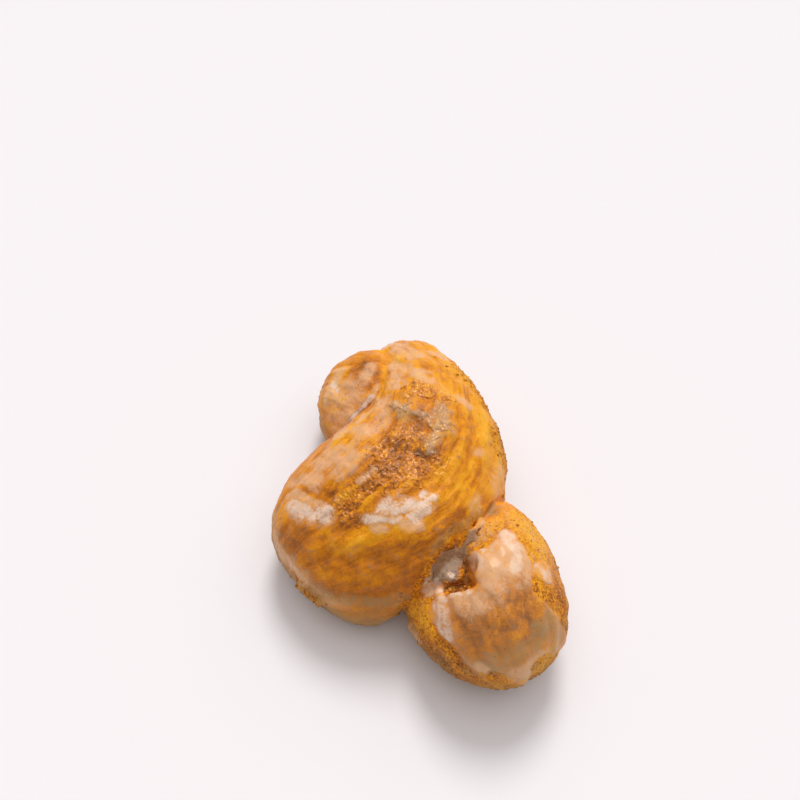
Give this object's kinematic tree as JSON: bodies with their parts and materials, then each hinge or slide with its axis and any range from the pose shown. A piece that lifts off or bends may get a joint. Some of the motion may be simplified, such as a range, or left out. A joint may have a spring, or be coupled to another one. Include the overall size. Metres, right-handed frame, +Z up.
{
  "type": "cinnamon twist bread",
  "caption": "Glazed yeast-dough twist: a soft rope of dough folded and crossed over itself, with a knob where it folds, a loose tail and a tucked end.",
  "frame": {"origin": "centre of the bounding box in plan, on the flat face that the twist was baked on", "axes": "+X along the twist from its loose ends to its folded end, +Z up out of the face it rests on"},
  "size_m": [0.134, 0.0924, 0.0462],
  "materials": {
    "crust": "soft golden to deep brown baked crust, satin, with cinnamon sugar baked on",
    "glaze": "thin set sugar glaze, milky and glossy",
    "cinnamon": "dark cinnamon specks and crumbs"
  },
  "bodies": {
    "root": {"twist": "crust"}
  },
  "joints": []
}
